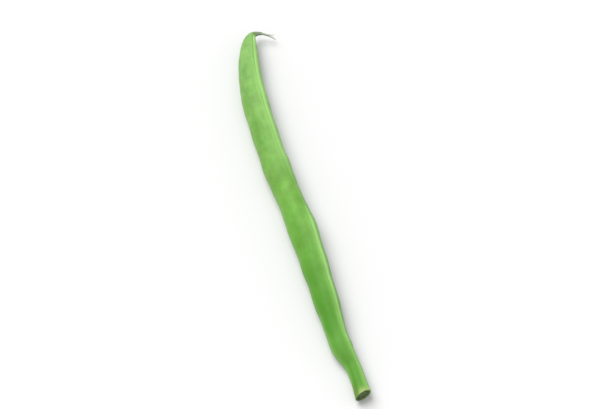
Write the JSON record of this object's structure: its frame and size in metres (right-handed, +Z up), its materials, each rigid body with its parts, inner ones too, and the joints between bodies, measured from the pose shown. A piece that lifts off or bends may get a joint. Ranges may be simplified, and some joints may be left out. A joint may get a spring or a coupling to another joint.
{
  "type": "green bean",
  "caption": "Fresh green bean pod, slender and gently bowed, with a broken neck, two seams, a rounded beak and a curled dried tail; it lies on its side with the belly seam rolled up.",
  "frame": {"origin": "on the surface the bean lies on, under the middle of its box", "axes": "+X from the broken neck to the tip; +Y towards the side the pod bows to, its back; +Z up, away from the surface it lies on"},
  "size_m": [0.1362, 0.0166, 0.0089],
  "materials": {
    "pod_skin": "waxy, finely downy plant skin, satin, paler along the seams"
  },
  "bodies": {
    "root": {"bean_pod": "pod_skin"}
  },
  "joints": []
}
